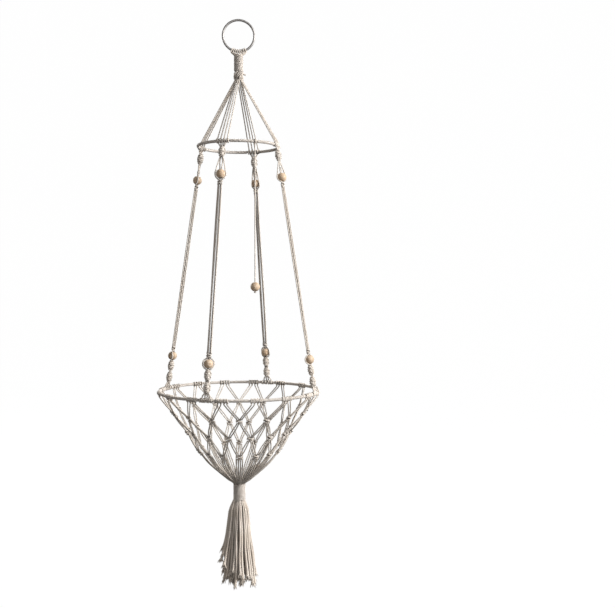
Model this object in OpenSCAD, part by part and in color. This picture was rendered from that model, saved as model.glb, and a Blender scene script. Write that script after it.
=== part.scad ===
// Hanging macrame planter: a cotton net basket on four knotted legs, hung from a metal ring.
// Millimetres, +Z up, +Y away from the front. The origin is where a hook bears on the top ring.

/* [Cord] */
// Diameter of the twisted cotton cord
cord_d = 2.4; // [2:0.1:2.8]
// Gap between cords that lie side by side
cord_gap = 0.3; // [0.2:0.05:0.6]

/* [Top ring] */
// Outside diameter of the metal hanging ring
top_ring_od = 59; // [50:1:75]
// Diameter of its wire
top_wire_d = 4; // [3:0.5:5]
// Number of cords folded over the ring
loop_count = 8; // [4:2:8]
// Play between each loop and the wire
loop_play = 0.9; // [0.8:0.1:1.2]

/* [Neck] */
// Diameter of the wrapped neck
neck_d = 17; // [16:0.5:22]
// Height of the neck wrapping
neck_h = 30; // [20:1:50]
// Height of the knot under the wrapping
neck_knot_h = 14; // [10:1:20]
// Gap under the top ring where the loops close up
neck_gap = 4; // [3.5:0.5:10]

/* [Upper ring] */
// Diameter of the upper ring, to the middle of its wire
upper_ring_d = 142; // [110:1:180]
// Drop from the neck knot to the upper ring
crown_drop = 116; // [90:1:160]
// Spacing of the four crown cords where they meet the upper ring
crown_spread = 6; // [4:0.5:8]

/* [Basket ring] */
// Diameter of the basket ring, to the middle of its wire
basket_ring_d = 280; // [240:1:340]
// Drop from the upper ring to the basket ring
leg_drop = 430; // [400:5:560]

/* [Ring making] */
// Diameter of the wire inside both covered rings
ring_wire_d = 3; // [2.5:0.5:5]
// Thickness of the cotton wound round them
wrap_t = 1.3; // [0.9:0.1:1.8]
// Width of the row of hitches that ties each leg to a ring
leg_hitch_w = 24; // [18:1:30]
// Width of each group of net hitches on the basket ring
net_hitch_w = 20; // [14:1:22]

/* [Legs] */
// Length of the fan of cords between a ring and the first knot
fan_l = 9; // [7:1:14]
// Diameter of the half knot berries
berry_d = 13.5; // [11:0.5:15]
// Length of the berry at the top of each leg
upper_berry_l = 19; // [15:1:25]
// Length of each of the two berries at the foot of each leg
lower_berry_l = 18.5; // [15:0.5:22]
// Length from the top berry to the square knot under its bead
cage_l = 38; // [32:1:45]
// Length from the upper foot berry to the square knot over its bead
lower_cage_l = 18; // [16.5:0.5:24]
// Width of a square knot
knot_d = 10.5; // [9:0.1:12]
// Height of a square knot
knot_h = 9; // [6:0.5:11]

/* [Beads] */
// Diameter of the wooden beads
bead_d = 16; // [14:0.5:17]
// Length of a bead along its hole
bead_l = 14; // [12:0.5:15]
// Diameter of the hole in a bead
bead_bore_d = 6; // [5.8:0.1:8]

/* [Net] */
// Number of knots in each round of the net
net_count = 16; // [12:4:16]
// Width of a knot of the net
net_knot_d = 12; // [10:0.5:13]
// Diameter of the first round of knots
net_1_d = 235; // [200:1:250]
// Drop from the basket ring to the first round
net_1_drop = 37; // [30:1:50]
// Diameter of the second round of knots
net_2_d = 184; // [165:1:200]
// Drop from the first to the second round
net_2_drop = 33.7; // [28:0.1:45]
// Diameter of the third round of knots
net_3_d = 144; // [130:1:160]
// Drop from the second to the third round
net_3_drop = 34; // [26:0.5:45]
// Drop from the third round to the gathered neck
gather_drop = 59.5; // [50:0.5:80]

/* [Bottom] */
// Diameter of the wrapping that gathers the net
bottom_wrap_d = 22; // [20:0.5:28]
// Height of that wrapping
bottom_wrap_h = 31.5; // [24:0.5:45]
// Length of the tassel
tassel_l = 151.5; // [100:0.5:220]
// Diameter of the tassel at its top
tassel_top_d = 25.5; // [23:0.5:32]
// Diameter of the tassel at its ends
tassel_end_d = 65; // [50:1:80]

/* [Hanging bead] */
// Diameter of the hanging bead
toy_bead_d = 16; // [14:0.5:20]
// Diameter of its hole
toy_bore_d = 3.6; // [3.5:0.1:5]

/* [Hidden] */
$fn = 48;

// Colours
COTTON = [0.93, 0.90, 0.86];
WOOD = [0.87, 0.77, 0.65];
STEEL = [0.66, 0.66, 0.67];

// The legs in order round the planter, counted from the front towards the right
FRONT = 0;
RIGHT = 1;
REAR = 2;
LEFT = 3;
LEGS = [FRONT, RIGHT, REAR, LEFT];
cords_per_leg = 4;
cell = 360 / net_count;
first_leg_angle = -cell;
toy_angle = cell;

// Overrun of a cut past the faces that it opens
cut = 1;

// Top ring and neck
top_ring_r = (top_ring_od - top_wire_d) / 2;
top_ring_z = top_wire_d / 2 - top_ring_r;
loop_r = (top_wire_d + cord_d) / 2 + loop_play;
// Gap between two loops on the top ring
loop_gap = 1;
loop_pitch = cord_d + loop_gap;
loop_pitch_angle = loop_pitch / top_ring_r * 180 / PI;
top_ring_bottom_z = top_ring_z - top_ring_r - top_wire_d / 2;
neck_top_z = top_ring_bottom_z - neck_gap;
neck_core_d = neck_d - 2 * cord_d;
neck_wrap_z = neck_top_z - neck_h;
neck_z = neck_wrap_z - neck_knot_h;
// Depth to which the flat fan of cords reaches down into the round bundle, and its thickness
fan_sink = 4;
fan_t = 2 * cord_d + cord_gap;
crown_r = neck_d / 2 - cord_d / 2 - cord_gap;
crown_cell = 360 / (cords_per_leg * len(LEGS));
// Gaps at the two ends of the crown cords, which keep them off the neck and the hitches
crown_start_gap = 1;
crown_end_gap = 1.5;

// Rings
upper_ring_r = upper_ring_d / 2;
upper_ring_z = neck_z - crown_drop;
basket_ring_r = basket_ring_d / 2;
basket_ring_z = upper_ring_z - leg_drop;
ring_cover_d = ring_wire_d + 2 * wrap_t;
hitch_d = ring_wire_d + 2 * cord_d;
// Where a fan of cords leaves its ring, and how far its narrow end stays inside a berry
fan_from = ring_wire_d / 2 + 1;
fan_inset = 2;

// Legs: distances down each leg from the middle of the upper ring
leg_out = basket_ring_r - upper_ring_r;
leg_l = norm([leg_out, leg_drop]);
leg_tilt = atan(leg_out / leg_drop);
core_pitch = cord_d + cord_gap / 2;
foot_fan_extra = 2;
bead_gap = 1;
berry_at = fan_l;
cage_at = berry_at + upper_berry_l;
upper_knot_at = cage_at + cage_l;
upper_bead_at = upper_knot_at - bead_gap - bead_d / 2;
leg_cords_at = upper_knot_at + knot_h;
foot_end_at = leg_l - fan_l - foot_fan_extra;
berry_gap = 2.5;
foot_berry_2_at = foot_end_at - lower_berry_l;
foot_berry_1_at = foot_berry_2_at - berry_gap - lower_berry_l;
lower_cage_at = foot_berry_1_at - lower_cage_l;
lower_bead_at = lower_cage_at + bead_gap + bead_d / 2;
lower_knot_at = lower_cage_at - knot_h;
// Play between a bead and the cords of its cage, and where those cords leave it
cage_play = 0.5;
cage_r = bead_d / 2 + cage_play + cord_d / 2;
cage_inner = 1.5 * core_pitch;
cage_tail = 0.2;

// Net
pair_d = cord_d * sqrt(2);
bundle_d = cord_d * 2;
net_1_z = basket_ring_z - net_1_drop;
net_2_z = net_1_z - net_2_drop;
net_3_z = net_2_z - net_3_drop;
bottom_z = net_3_z - gather_drop;
// Share of a pair's thickness by which two limbs stand apart at a knot
limb_lap = 0.7;
limb_spread = pair_d * limb_lap;
net_knot_h = knot_h;
// Depth to which cords run into the knots and hitches that hold them
sink = 1.2;

// Bottom
wrap_end_z = bottom_z - bottom_wrap_h;
bottom_core_d = bottom_wrap_d - 2 * cord_d;
funnel_d = 2 * bottom_wrap_d;
funnel_h = bottom_wrap_d * 0.4;
funnel_z = bottom_z + funnel_h;
// Height of the core's dome inside the funnel
dome = 2;
gather_sag = 3.5;
// The angle at which the tassel's coned top still clears the wrapping
tassel_swing_clear = 24;

// Hanging bead: its cord's route counts down from the middle of the upper ring
toy_route = [
    [0, 0, -3], [0, 0, -8], [0, 0, -20], [0, 0, -40], [0, 0, -60], [0, 0, -80],
    [0, 0, -100], [0, 0, -120], [0, 0, -140], [0, 0, -160], [0, 0, -180], [0, 0, -200],
    [0, 0, -220], [0, 0, -235], [0, 0, -245], [0, 0, -255]
];
toy_play = 0.3;
toy_hitch_d = ring_wire_d + 2 * toy_play + 2 * cord_d;
toy_end_z = upper_ring_z + toy_route[len(toy_route) - 1][2];
toy_knot_d = 2 * cord_d;
toy_knot_h = 3;
toy_bead_l = toy_bead_d - 1;
toy_bead_z = toy_end_z + toy_knot_h / 2 + cord_gap + toy_bead_l / 2;

// A point at a radius and height, at an angle counted from the front towards the right
function around(r, angle, z) = [r * sin(angle), -r * cos(angle), z];

function unit(v) = v / norm(v);

// The direction of a path at one of its points
function heading(path, i) =
    unit(path[min(i + 1, len(path) - 1)] - path[max(i - 1, 0)]);

// A tube of eight sides along a path, with one fixed direction across it
module tube(path, d, across = [0, 1, 0]) {
    sides = 8;
    last = len(path) - 1;
    rings = [
        for (i = [0:last], s = [0:sides - 1])
            let (
                u = unit(cross(heading(path, i), across)),
                v = cross(u, heading(path, i)),
                a = 360 * s / sides
            )
            path[i] + d / 2 * (u * cos(a) + v * sin(a))
    ];
    walls = [
        for (i = [0:last - 1], s = [0:sides - 1])
            let (
                a = i * sides + s,
                b = i * sides + (s + 1) % sides
            )
            [a, b, b + sides, a + sides]
    ];
    start = [for (s = [sides - 1:-1:0]) s];
    end = [for (s = [0:sides - 1]) last * sides + s];
    polyhedron(points = rings, faces = concat(walls, [start, end]));
}

// A straight cord between two points
module strand(from, to, d = cord_d) {
    way = to - from;
    tilt = acos(way[2] / norm(way));
    turn = atan2(way[1], way[0]);
    translate(from)
        rotate([0, tilt, turn])
            cylinder(d = d, h = norm(way));
}

// Places its children in a leg's own frame: X across the leg, Z down it
module on_leg(leg) {
    rotate([0, 0, first_leg_angle + 90 * leg])
        translate([0, -upper_ring_r, upper_ring_z])
            rotate([180 - leg_tilt, 0, 0])
                children();
}

// A barrel that narrows at both ends, with its top at the origin and its length up Z
module barrel(mid_d, end_d, h) {
    taper = h / 4;
    rotate_extrude()
        polygon([
            [0, 0],
            [end_d / 2, 0],
            [mid_d / 2, taper],
            [mid_d / 2, h - taper],
            [end_d / 2, h],
            [0, h]
        ]);
}

// A wooden bead with a true bore, its hole along Z
module bead(d, l, bore) {
    difference() {
        intersection() {
            sphere(d = d);
            cube([d, d, l], center = true);
        }
        cylinder(d = bore, h = 2 * d, center = true);
    }
}

// A stretch of a ring's cover, centred on an angle and as wide as given
module ring_sleeve(r, z, angle, width, outside, inside = ring_wire_d) {
    span = width / r * 180 / PI;
    translate([0, 0, z])
        rotate([0, 0, angle - span / 2 - 90])
            rotate_extrude(angle = span)
                translate([r, 0])
                    difference() {
                        circle(d = outside);
                        circle(d = inside);
                    }
}

// A closed ring of round wire, lying flat
module hoop(r, z, d) {
    translate([0, 0, z])
        rotate_extrude()
            translate([r, 0])
                circle(d = d);
}

module top_ring() {
    color(STEEL)
        translate([0, 0, top_ring_z])
            rotate([90, 0, 0])
                rotate_extrude()
                    translate([top_ring_r, 0])
                        circle(d = top_wire_d);
}

// Loops of the folded cords, each round the wire with a little play
module top_loops() {
    color(COTTON)
        for (i = [0:loop_count - 1])
            translate([0, 0, top_ring_z])
                rotate([0, (i - (loop_count - 1) / 2) * loop_pitch_angle, 0])
                    translate([0, 0, -top_ring_r])
                        rotate([0, 90, 0])
                            rotate_extrude()
                                translate([loop_r, 0])
                                    circle(d = cord_d);
}

// The bundle of cords inside the neck, spread flat at its top under the loops
module neck_core() {
    half_fan = (loop_count - 1) / 2 * loop_pitch_angle;
    fan_r = top_ring_r + loop_r;
    steps = 8;
    color(COTTON) {
        translate([0, 0, neck_z])
            cylinder(d = neck_core_d, h = neck_top_z - neck_z);
        translate([0, fan_t / 2, 0])
            rotate([90, 0, 0])
                linear_extrude(fan_t)
                    polygon(concat(
                        [
                            [-neck_core_d / 2, neck_top_z - fan_sink],
                            [neck_core_d / 2, neck_top_z - fan_sink]
                        ],
                        [
                            for (s = [0:steps])
                                let (a = half_fan * (1 - 2 * s / steps))
                                [fan_r * sin(a), top_ring_z - fan_r * cos(a)]
                        ]
                    ));
    }
}

module neck_wrap() {
    color(COTTON)
        translate([0, 0, neck_wrap_z])
            difference() {
                cylinder(d = neck_d, h = neck_h);
                translate([0, 0, -cut])
                    cylinder(d = neck_core_d, h = neck_h + 2 * cut);
                // Clears the flat fan of the core
                translate([0, 0, neck_h])
                    cube([neck_d + 2 * cut, fan_t + cord_gap, 2 * fan_sink], center = true);
            }
}

module neck_knot() {
    color(COTTON)
        translate([0, 0, neck_z])
            difference() {
                barrel(neck_d, neck_d - cord_d, neck_knot_h);
                translate([0, 0, -cut])
                    cylinder(d = neck_core_d, h = neck_knot_h + 2 * cut);
            }
}

// Four cords from the neck to a leg's place on the upper ring
module crown_cords(leg) {
    leg_angle = first_leg_angle + 90 * leg;
    end_z = upper_ring_z + hitch_d / 2 + crown_end_gap;
    color(COTTON)
        for (i = [-1.5:1:1.5]) {
            spread_angle = i * crown_spread / upper_ring_r * 180 / PI;
            strand(
                around(crown_r, leg_angle + i * crown_cell, neck_z - crown_start_gap),
                around(upper_ring_r, leg_angle + spread_angle, end_z)
            );
        }
}

module upper_ring() {
    color(STEEL)
        hoop(upper_ring_r, upper_ring_z, ring_wire_d);
}

// Cotton wound round the upper ring between the hitches
module upper_ring_wrap() {
    toy_w = 2 * cord_d + cord_gap;
    ends = [
        for (leg = LEGS) [first_leg_angle + 90 * leg, leg_hitch_w],
        [toy_angle, toy_w],
        [first_leg_angle + 360, leg_hitch_w]
    ];
    // Hitches in order round the ring: front leg, hanging bead, then the other legs
    order = [ends[0], ends[4], ends[1], ends[2], ends[3], ends[5]];
    color(COTTON)
        for (i = [0:len(order) - 2])
            wrap_between(order[i], order[i + 1], upper_ring_r, upper_ring_z);
}

// A ring's cover from one hitch to the next, each given as its angle and width
module wrap_between(a, b, r, z) {
    arc = (b[0] - a[0]) * PI / 180 * r;
    free = arc - (a[1] + b[1]) / 2 - 2 * cord_gap;
    middle = (a[0] + b[0]) / 2 + (a[1] - b[1]) / 4 / r * 180 / PI;
    ring_sleeve(r, z, middle, free, ring_cover_d);
}

// A row of hitches with the fan of cords that closes to a leg's first knot
module hitch_row(leg, r, z, at, fan_end) {
    ring_sleeve(r, z, first_leg_angle + 90 * leg, leg_hitch_w, hitch_d);
    wide = leg_hitch_w / 2;
    narrow = berry_d / 2 - fan_inset;
    on_leg(leg)
        translate([0, cord_d, 0])
            rotate([90, 0, 0])
                linear_extrude(2 * cord_d)
                    polygon([[-wide, at], [wide, at], [narrow, fan_end], [-narrow, fan_end]]);
}

module upper_hitches() {
    color(COTTON)
        for (leg = LEGS)
            hitch_row(leg, upper_ring_r, upper_ring_z, fan_from, berry_at);
}

module upper_berry(leg) {
    color(COTTON)
        on_leg(leg)
            translate([0, 0, berry_at])
                barrel(berry_d, berry_d - 2 * cord_d, upper_berry_l);
}

// The angle at which a working cord leaves its bead, for the room between bead and knot
function leave_angle(room) = min(
    acos(min(1, cage_inner / cage_r)),
    asin(min(1, (room - cage_tail) / cage_r))
);

// The two working cords that pass outside a bead: each comes in along its lead, hugs the
// bead from an angle on, and runs straight to its end
module cage(bead_at, end_at, from_angle, lead) {
    steps = 9;
    to_angle = leave_angle(end_at - bead_at);
    for (side = [-1, 1])
        tube(concat(
            [for (p = lead) [side * p[0], 0, p[1]]],
            [
                for (s = [0:steps])
                    let (a = from_angle + (to_angle - from_angle) * s / steps)
                    [side * cage_r * cos(a), 0, bead_at + cage_r * sin(a)]
            ],
            [[side * cage_r * cos(to_angle), 0, end_at]]
        ), cord_d);
}

module upper_cage_cords() {
    straight = 2;
    opening = [1, 8];
    touch_angle = -20;
    color(COTTON)
        for (leg = LEGS)
            on_leg(leg)
                cage(upper_bead_at, upper_knot_at, touch_angle, [
                    [cage_inner, cage_at],
                    [cage_inner, cage_at + straight],
                    [cage_inner + opening[0], cage_at + opening[1]]
                ]);
}

// The two filler cords that run through a bead
module core(from, to) {
    for (side = [-0.5, 0.5])
        translate([side * core_pitch, 0, from])
            cylinder(d = cord_d, h = to - from);
}

module upper_core_cords() {
    color(COTTON)
        for (leg = LEGS)
            on_leg(leg)
                core(cage_at, upper_knot_at);
}

module upper_bead(leg) {
    color(WOOD)
        on_leg(leg)
            translate([0, 0, upper_bead_at])
                bead(bead_d, bead_l, bead_bore_d);
}

module upper_knots() {
    color(COTTON)
        for (leg = LEGS)
            on_leg(leg)
                translate([0, 0, upper_knot_at])
                    barrel(knot_d, knot_d - cord_gap, knot_h);
}

// The four long cords of a leg, between its square knots, staggered to lie close
module leg_cords(leg) {
    stagger = 0.8;
    pitch = sqrt(pow(cord_d + cord_gap, 2) - pow(2 * stagger, 2));
    color(COTTON)
        on_leg(leg)
            for (i = [0:3])
                translate([(i - 1.5) * pitch, (i % 2 * 2 - 1) * stagger, leg_cords_at])
                    cylinder(d = cord_d, h = lower_knot_at - leg_cords_at - cord_gap);
}

module lower_knots() {
    color(COTTON)
        for (leg = LEGS)
            on_leg(leg)
                translate([0, 0, lower_knot_at])
                    barrel(knot_d, knot_d - cord_gap, knot_h);
}

module lower_cage_cords() {
    start_angle = -leave_angle(lower_bead_at - lower_cage_at);
    color(COTTON)
        for (leg = LEGS)
            on_leg(leg)
                cage(
                    lower_bead_at, foot_berry_1_at, start_angle,
                    [[cage_r * cos(start_angle), lower_cage_at]]
                );
}

module lower_core_cords() {
    color(COTTON)
        for (leg = LEGS)
            on_leg(leg)
                core(lower_cage_at, foot_berry_1_at);
}

module lower_bead(leg) {
    color(WOOD)
        on_leg(leg)
            translate([0, 0, lower_bead_at])
                bead(bead_d, bead_l, bead_bore_d);
}

// Two berries in line, with a short waist between them
module foot_berries(leg) {
    end_d = berry_d - 2 * cord_d;
    waist_d = end_d - 1;
    lap = 1;
    color(COTTON)
        on_leg(leg) {
            translate([0, 0, foot_berry_1_at])
                barrel(berry_d, end_d, lower_berry_l);
            translate([0, 0, foot_berry_1_at + lower_berry_l - lap])
                cylinder(d = waist_d, h = berry_gap + 2 * lap);
            translate([0, 0, foot_berry_2_at])
                barrel(berry_d, end_d, lower_berry_l);
        }
}

module leg_hitches() {
    color(COTTON)
        for (leg = LEGS)
            hitch_row(leg, basket_ring_r, basket_ring_z, leg_l - fan_from, foot_end_at);
}

module basket_ring() {
    color(STEEL)
        hoop(basket_ring_r, basket_ring_z, ring_wire_d);
}

module net_hitches() {
    color(COTTON)
        for (i = [0:net_count - 1])
            ring_sleeve(basket_ring_r, basket_ring_z, (i + 0.5) * cell, net_hitch_w, hitch_d);
}

// Cotton wound round the basket ring in every gap that no hitch fills
module basket_ring_wrap() {
    leg_cells = [for (leg = LEGS) (first_leg_angle + 90 * leg + 360) % 360];
    color(COTTON)
        for (i = [0:net_count - 1]) {
            angle = (i * cell) % 360;
            has_leg = len([for (a = leg_cells) if (abs(a - angle) < cell / 4) a]) > 0;
            before = [(i - 0.5) * cell, net_hitch_w];
            after = [(i + 0.5) * cell, net_hitch_w];
            if (has_leg) {
                wrap_between(before, [i * cell, leg_hitch_w], basket_ring_r, basket_ring_z);
                wrap_between([i * cell, leg_hitch_w], after, basket_ring_r, basket_ring_z);
            } else {
                wrap_between(before, after, basket_ring_r, basket_ring_z);
            }
        }
}

// A round of net limbs: every limb is a pair of cords from one knot to the next round's
module net_limbs(r_top, z_top, top_width, r_end, z_end, shift) {
    top_spread = top_width / 2 / r_top * 180 / PI;
    end_spread = limb_spread / r_end * 180 / PI;
    for (i = [0:net_count - 1], side = [-1, 1]) {
        angle = (i + shift) * cell;
        strand(
            around(r_top, angle + side * top_spread, z_top),
            around(r_end, angle + side * (cell / 2 - end_spread), z_end),
            pair_d
        );
    }
}

// A round of square knots, each leaning with the net's slope
module net_round(r, z, shift, slope) {
    for (i = [0:net_count - 1])
        rotate([0, 0, (i + shift) * cell])
            translate([0, -r, z])
                rotate([-slope, 0, 0])
                    translate([0, 0, -net_knot_h / 2])
                        barrel(net_knot_d, net_knot_d - cord_gap, net_knot_h);
}

function slope_of(d_a, d_b, drop) = -atan((d_a - d_b) / 2 / drop);

module net_cords_1() {
    color(COTTON)
        net_limbs(
            basket_ring_r, basket_ring_z - ring_wire_d / 2 - sink, net_hitch_w - 2 * pair_d,
            net_1_d / 2, net_1_z + net_knot_h / 2 - sink, 0.5
        );
}

module net_knots_1() {
    color(COTTON)
        net_round(net_1_d / 2, net_1_z, 0, slope_of(basket_ring_d, net_2_d, net_1_drop + net_2_drop));
}

module net_cords_2() {
    color(COTTON)
        net_limbs(
            net_1_d / 2, net_1_z - net_knot_h / 2 + sink, 2 * limb_spread,
            net_2_d / 2, net_2_z + net_knot_h / 2 - sink, 0
        );
}

module net_knots_2() {
    color(COTTON)
        net_round(net_2_d / 2, net_2_z, 0.5, slope_of(net_1_d, net_3_d, net_2_drop + net_3_drop));
}

module net_cords_3() {
    color(COTTON)
        net_limbs(
            net_2_d / 2, net_2_z - net_knot_h / 2 + sink, 2 * limb_spread,
            net_3_d / 2, net_3_z + net_knot_h / 2 - sink, 0.5
        );
}

module net_knots_3() {
    color(COTTON)
        net_round(net_3_d / 2, net_3_z, 0, slope_of(net_2_d, funnel_d, net_3_drop + gather_drop));
}

// Bundles of four cords that sag in from the last round to the middle
module gathered_cords() {
    start = [net_3_d / 2 - sink, net_3_z - net_knot_h / 2 + sink];
    finish = [funnel_d / 2 - sink, funnel_z - sink];
    steps = 4;
    color(COTTON)
        for (i = [0:net_count - 1])
            rotate([0, 0, i * cell])
                tube([
                    for (s = [0:steps])
                        let (
                            t = s / steps,
                            p = start * (1 - t) + finish * t
                        )
                        [0, -p[0], p[1] - gather_sag * sin(180 * t)]
                ], bundle_d, [1, 0, 0]);
}

// The gathered cords as they turn down into the bottom wrapping
module bottom_core() {
    color(COTTON)
        translate([0, 0, wrap_end_z])
            rotate_extrude()
                polygon([
                    [0, 0],
                    [bottom_core_d / 2, 0],
                    [bottom_core_d / 2, bottom_wrap_h],
                    [funnel_d / 2, funnel_z - wrap_end_z],
                    [funnel_d / 2 - bundle_d / 2, funnel_z - wrap_end_z + dome],
                    [0, bottom_wrap_h + dome]
                ]);
}

module bottom_wrap() {
    color(COTTON)
        translate([0, 0, wrap_end_z])
            difference() {
                cylinder(d = bottom_wrap_d, h = bottom_wrap_h);
                translate([0, 0, -cut])
                    cylinder(d = bottom_core_d, h = bottom_wrap_h + 2 * cut);
            }
}

// The tassel as one closed bell, with its top coned so that it can sway under the wrapping
module tassel() {
    clear = 0.5;
    top_r = tassel_top_d / 2;
    cone_h = top_r * tan(tassel_swing_clear);
    // Share of the widening, and of the length, at each corner of its outline
    flare = [[0.24, 0.11], [0.34, 0.3], [0.54, 0.52], [1, 1]];
    color(COTTON)
        translate([0, 0, wrap_end_z - clear])
            rotate_extrude()
                polygon(concat(
                    [[0, 0], [top_r, -cone_h]],
                    [
                        for (f = flare)
                            [
                                top_r + f[0] * (tassel_end_d / 2 - top_r),
                                f[1] * (clear - tassel_l)
                            ]
                    ],
                    [[0, clear - tassel_l]]
                ));
}

// Places its children under the upper ring where the bead's cord is tied
module at_toy(z) {
    rotate([0, 0, toy_angle])
        translate([0, -upper_ring_r, z])
            children();
}

// The loop of the bead's cord, loose enough to swing on the ring
module toy_hitch() {
    color(COTTON)
        ring_sleeve(
            upper_ring_r, upper_ring_z, toy_angle, 2 * cord_d,
            toy_hitch_d, ring_wire_d + 2 * toy_play
        );
}

module toy_cord() {
    color(COTTON)
        at_toy(upper_ring_z)
            tube(toy_route, cord_d);
}

module toy_bead() {
    color(WOOD)
        at_toy(toy_bead_z)
            bead(toy_bead_d, toy_bead_l, toy_bore_d);
}

module toy_knot() {
    color(COTTON)
        at_toy(toy_end_z - toy_knot_h / 2)
            barrel(toy_knot_d, cord_d, toy_knot_h);
}

top_ring();
top_loops();
neck_core();
neck_wrap();
neck_knot();
crown_cords(FRONT);  // front_crown_cords
crown_cords(RIGHT);  // right_crown_cords
crown_cords(REAR);  // rear_crown_cords
crown_cords(LEFT);  // left_crown_cords
upper_ring();
upper_ring_wrap();
upper_hitches();
upper_berry(FRONT);  // front_upper_berry
upper_berry(RIGHT);  // right_upper_berry
upper_berry(REAR);  // rear_upper_berry
upper_berry(LEFT);  // left_upper_berry
upper_cage_cords();
upper_core_cords();
upper_bead(FRONT);  // front_upper_bead
upper_bead(RIGHT);  // right_upper_bead
upper_bead(REAR);  // rear_upper_bead
upper_bead(LEFT);  // left_upper_bead
upper_knots();
leg_cords(FRONT);  // front_leg_cords
leg_cords(RIGHT);  // right_leg_cords
leg_cords(REAR);  // rear_leg_cords
leg_cords(LEFT);  // left_leg_cords
lower_knots();
lower_cage_cords();
lower_core_cords();
lower_bead(FRONT);  // front_lower_bead
lower_bead(RIGHT);  // right_lower_bead
lower_bead(REAR);  // rear_lower_bead
lower_bead(LEFT);  // left_lower_bead
foot_berries(FRONT);  // front_foot_berries
foot_berries(RIGHT);  // right_foot_berries
foot_berries(REAR);  // rear_foot_berries
foot_berries(LEFT);  // left_foot_berries
leg_hitches();
basket_ring();
basket_ring_wrap();
net_hitches();
net_cords_1();
net_knots_1();
net_cords_2();
net_knots_2();
net_cords_3();
net_knots_3();
gathered_cords();
bottom_core();
bottom_wrap();
tassel();
toy_hitch();
toy_cord();
toy_bead();
toy_knot();
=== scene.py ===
"""Looks of the hanging macrame planter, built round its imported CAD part.

Shapes are worked out in millimetres in the row frame, and become metres when a mesh is made.
The names and values under "Sizes" are those of the CAD source.
"""

import math
import random

import bpy
import numpy as np
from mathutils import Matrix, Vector


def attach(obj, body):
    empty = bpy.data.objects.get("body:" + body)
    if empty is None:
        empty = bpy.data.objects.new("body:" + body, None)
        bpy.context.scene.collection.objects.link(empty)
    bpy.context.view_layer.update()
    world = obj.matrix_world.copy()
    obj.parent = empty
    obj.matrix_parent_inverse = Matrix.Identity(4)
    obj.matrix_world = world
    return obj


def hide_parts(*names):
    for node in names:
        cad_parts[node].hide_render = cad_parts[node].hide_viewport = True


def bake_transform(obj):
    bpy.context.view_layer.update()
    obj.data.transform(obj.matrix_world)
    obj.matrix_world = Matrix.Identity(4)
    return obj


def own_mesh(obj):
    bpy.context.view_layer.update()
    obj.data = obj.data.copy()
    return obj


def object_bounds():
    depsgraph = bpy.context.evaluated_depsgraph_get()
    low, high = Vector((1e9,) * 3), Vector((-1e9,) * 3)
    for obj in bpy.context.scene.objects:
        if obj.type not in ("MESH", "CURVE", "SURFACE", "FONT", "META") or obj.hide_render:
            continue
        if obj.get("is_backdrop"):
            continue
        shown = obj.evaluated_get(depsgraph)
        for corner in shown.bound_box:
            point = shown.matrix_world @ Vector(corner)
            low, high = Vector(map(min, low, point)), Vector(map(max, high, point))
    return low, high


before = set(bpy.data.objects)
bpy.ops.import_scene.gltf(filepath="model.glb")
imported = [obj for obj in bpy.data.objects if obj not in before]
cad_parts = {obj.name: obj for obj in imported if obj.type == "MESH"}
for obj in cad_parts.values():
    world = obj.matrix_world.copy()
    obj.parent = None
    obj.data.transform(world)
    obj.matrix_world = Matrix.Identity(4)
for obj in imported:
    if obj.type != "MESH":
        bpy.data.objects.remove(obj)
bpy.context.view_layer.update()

MM = 0.001
rng = random.Random(7)

# ---------------------------------------------------------------- Sizes, in mm
CORD_D = 2.4
CORD_GAP = 0.3
TOP_RING_R = 27.5
TOP_RING_Z = -25.5
TOP_WIRE_D = 4.0
LOOPS = 8
LOOP_STEP = math.radians(7.084)
NECK_TOP_Z = -59.0
NECK_WRAP_Z = -89.0
NECK_Z = -103.0
NECK_D = 17.0
CROWN_R = 7.0
CROWN_SPREAD = 6.0
UPPER_R = 71.0
UPPER_Z = -219.0
BASKET_R = 140.0
BASKET_Z = -649.0
WIRE_D = 3.0
COVER_T = 1.3
LEG_HITCH_W = 24.0
NET_HITCH_W = 20.0
LEG_L = math.hypot(BASKET_R - UPPER_R, UPPER_Z - BASKET_Z)
LEG_TILT = math.degrees(math.atan2(BASKET_R - UPPER_R, UPPER_Z - BASKET_Z))
BERRY_D = 13.5
BERRY_AT = 9.0
CAGE_AT = 28.0
UPPER_KNOT_AT = 66.0
UPPER_BEAD_AT = 57.0
LEG_CORDS_AT = 75.0
LOWER_BERRY_L = 18.5
FOOT_END_AT = LEG_L - 11.0
FOOT_2_AT = FOOT_END_AT - LOWER_BERRY_L
FOOT_1_AT = FOOT_2_AT - 2.5 - LOWER_BERRY_L
LOWER_CAGE_AT = FOOT_1_AT - 18.0
LOWER_BEAD_AT = LOWER_CAGE_AT + 9.0
LOWER_KNOT_AT = LOWER_CAGE_AT - 9.0
KNOT_D = 10.5
NET_KNOT_D = 12.0
KNOT_H = 9.0
BEAD_D = 16.0
BEAD_L = 14.0
BORE_D = 6.0
CAGE_R = 9.7
CELLS = 16
CELL = 360.0 / CELLS
NET_R = [117.5, 92.0, 72.0]
NET_Z = [-686.0, -719.7, -753.7]
BOTTOM_Z = -813.2
WRAP_END_Z = -844.7
BOTTOM_WRAP_D = 22.0
TASSEL_L = 151.5
TOY_ANGLE = CELL
TOY_ROUTE = [-3, -8, -20, -40, -60, -80, -100, -120, -140, -160, -180, -200, -220, -235, -245, -255]
TOY_BEAD_Z = -464.7
TOY_BEAD_D = 16.0
TOY_BEAD_L = 15.0
TOY_BORE_D = 3.6
# The four cords of a leg, as places to both sides of its middle, and their spacing in a bundle
FOUR = (-1.5, -0.5, 0.5, 1.5)
BUNDLE_X = 2.3
LEGS = {"front": -CELL, "right": 90 - CELL, "rear": 180 - CELL, "left": 270 - CELL}

# ---------------------------------------------------------------- Camera and light
scene = bpy.context.scene
scene.view_settings.view_transform = "Standard"

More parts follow.
